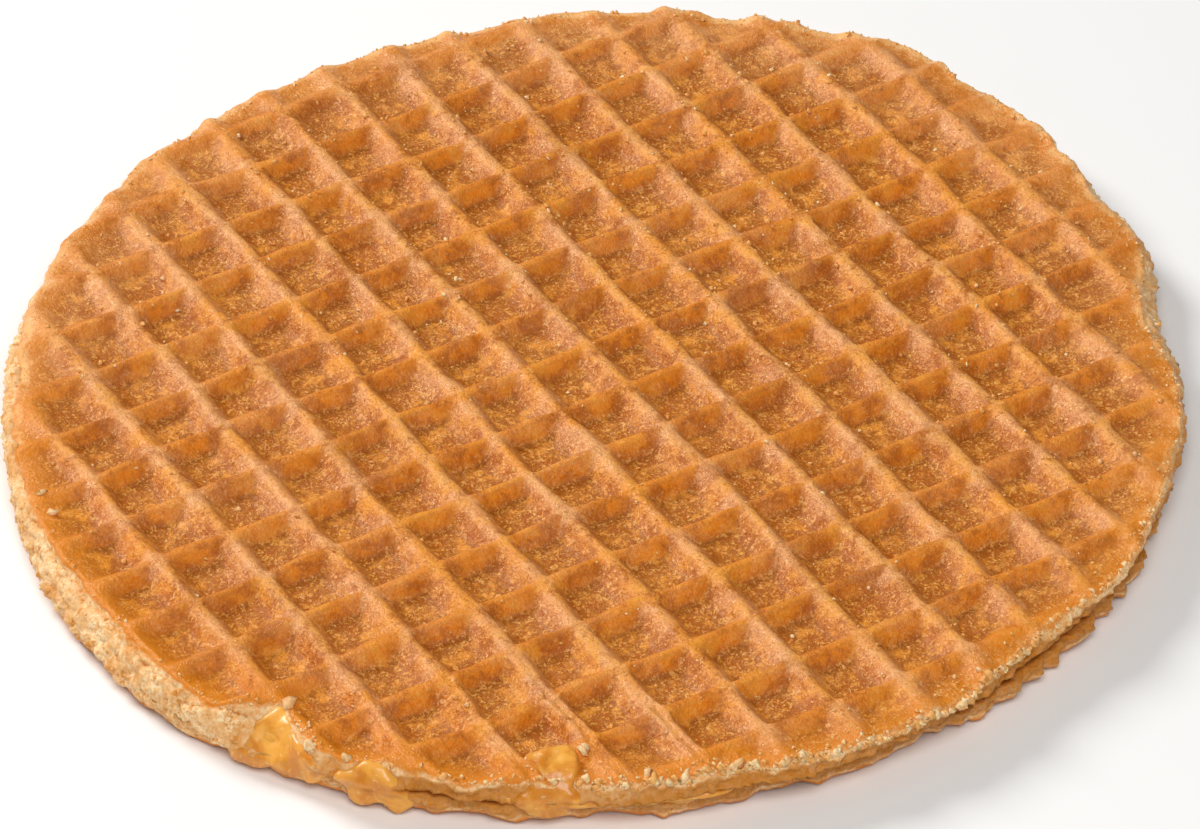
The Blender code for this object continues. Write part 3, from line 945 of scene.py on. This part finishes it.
def upperHeight(x, y):
    # Height of the upper round's baked face above the table: the crests' height less the baked
    # depth, and less a quarter circle's fall at the crust's edge.
    radius, angle = polar(x, y)
    margin = raggedRadius(upperWafer, angle) - leanAt(upperWafer, angle) - radius
    px, py = toPattern(upperWafer, x, y)
    depth = bakedDepth(upperWafer, px, py, margin)[0]
    shell = upperWafer["shell"]
    over = np.clip(shell - margin, 0.0, 0.9975 * shell)
    return stack["upperFace"] - depth - shell + np.sqrt(shell**2 - over**2)


def crumbShape():
    # A closed ball of radius 1: three rings of six points at t from its top, each at height cos(t),
    # sin(t) from the axis and turned by t, and two tips.
    turn = np.arange(6) * np.pi / 3
    rings = [np.stack([np.sin(t) * np.cos(turn + t), np.sin(t) * np.sin(turn + t),
                       np.full(6, np.cos(t))], axis=1) for t in (0.75, 1.57, 2.39)]
    points = np.concatenate([[[0, 0, 1.0]], *rings, [[0, 0, -1.0]]])
    tips = [fanFaces(1, 0, 6), turnedOver(fanFaces(13, 19, 6))]
    return points, np.concatenate([ringFaces(7, 1, 6), ringFaces(13, 7, 6), *tips])


def scatterCrumbs(s, k):
    # Places and sizes of one kind's crumbs. A crumb's middle lies a little above the face.
    chance = np.random.default_rng(k["seed"])
    angle = chance.uniform(0, 360, 4 * k["rim"])
    share = s["share"] + bumpsAt(angle, s["where"])
    angle = angle[chance.uniform(0, 1, len(angle)) < share]
    spill = bumpsAt(angle, s["spill"])
    inset = chance.gamma(*s["inset"], len(angle)) + 0.15 - 0.4 * spill
    rimX, rimY = aroundMiddle(crustEdge(angle) - inset, angle)
    middle, spread, reach = s["face"]
    turn = chance.normal(middle, spread, k["face"])
    faceX, faceY = aroundMiddle(np.sqrt(chance.uniform(0, 1, k["face"])) * reach, turn)
    x, y = np.concatenate([rimX, faceX]), np.concatenate([rimY, faceY])
    low, high = k["size"]
    size = low + (high - low) * chance.uniform(0, 1, len(x))**2.6
    size[:len(rimX)] *= 1 + 1.2 * smooth(1 - np.abs(inset) / 0.35) * spill
    if k is s["pale"]:
        bigAngle, bigInset, bigSize = (np.array(v) for v in zip(*s["big"]))
        bx, by = aroundMiddle(crustEdge(bigAngle) - bigInset, bigAngle)
        x, y, size = np.concatenate([x, bx]), np.concatenate([y, by]), np.concatenate([size, bigSize])
    z = np.minimum(upperHeight(x, y) + 0.12 * size, stack["top"] - 0.02 - 0.5 * size)
    return np.stack([x, y, z], axis=1), size


def makeCrumbMaterial(name, s, colour):
    material, n, shader = newMaterial(name, s["roughness"], specular=s["specular"], scatter=s["scatter"])
    where = n.place()
    fine = n.noise(where, 0.3, detail=2.0)
    wide = n.noise(where, 1.4, detail=2.0)
    colour = n.mix(n.between(wide, 0.42, 0.62, 0.0, 0.6), colour, s["golds"])
    colour = n.mix(n.between(fine, 0.35, 0.6, 0.45, 0.0), colour, s["burnt"])
    n.link(colour, shader.inputs["Base Color"])
    n.bump(shader, fine, *s["bump"])
    return material


def makeCrumbs(name, s, kind):
    # Every crumb is the same ball, stretched by chance in three ways, dented point by point,
    # and turned by chance.
    places, sizes = scatterCrumbs(s, s[kind])
    chance = np.random.default_rng(s[kind]["seed"] + 100)
    points, faces = crumbShape()
    many = len(places)
    shape = points[None] * chance.uniform(*s["stretch"], (many, 1, 3))
    shape = shape * (1 + chance.uniform(-s["dent"], s["dent"], (many, len(points), 1)))
    turns = np.linalg.qr(chance.normal(size=(many, 3, 3)))[0]
    turns = turns * np.sign(np.linalg.det(turns))[:, None, None]
    shape = np.einsum("nij,nkj->nki", turns, shape) * sizes[:, None, None] / 2
    vertices = (shape + places[:, None]).reshape(-1, 3)
    vertices[:, 2] = np.minimum(vertices[:, 2], stack["top"])
    faces = (faces[None] + np.arange(many)[:, None, None] * len(points)).reshape(-1, 4)
    material = makeCrumbMaterial(kind + "Crumb", s, s[kind]["colour"])
    makePiece(name, vertices, faces, material, {"torn": np.ones(len(vertices))})


makeCrumbs("paleCrumbs", crumbs, "pale")
makeCrumbs("goldenCrumbs", crumbs, "golden")

studio = {
    "floor": srgb(243, 242, 240),
    "floorSize": 6000.0,
    "key": {"from": (-200, 500, 420), "size": 300, "watts": 3.7},  # round lamps, aimed at the middle
    "fill": {"from": (-170, -350, 520), "size": 360, "watts": 2.6},
    "sky": 0.17,  # strength of the even light from all round
}


def makeStudio(s):
    bpy.ops.mesh.primitive_plane_add(size=s["floorSize"] * mm, location=(0, 0, 0))
    floor = bpy.context.object
    floor.name = "floor"
    material, _, shader = newMaterial("paleFloor", 0.9, specular=0.1)
    shader.inputs["Base Color"].default_value = s["floor"]
    floor.data.materials.append(material)
    for name in ("key", "fill"):
        lamp = s[name]
        data = bpy.data.lights.new(name, "AREA")
        data.shape, data.size, data.energy = "DISK", lamp["size"] * mm, lamp["watts"]
        light = bpy.data.objects.new(name, data)
        light.location = Vector(lamp["from"]) * mm
        light.rotation_euler = (-light.location).to_track_quat("-Z", "Y").to_euler()
        bpy.context.collection.objects.link(light)
    world = bpy.data.worlds.new("studio")
    world.use_nodes = True
    world.node_tree.nodes["Background"].inputs["Strength"].default_value = s["sky"]
    world.node_tree.nodes["Background"].inputs["Color"].default_value = (1.0, 1.0, 1.0, 1.0)
    bpy.context.scene.world = world
    bpy.context.scene.view_settings.view_transform = "Standard"
    print("floor and light set")


makeStudio(studio)
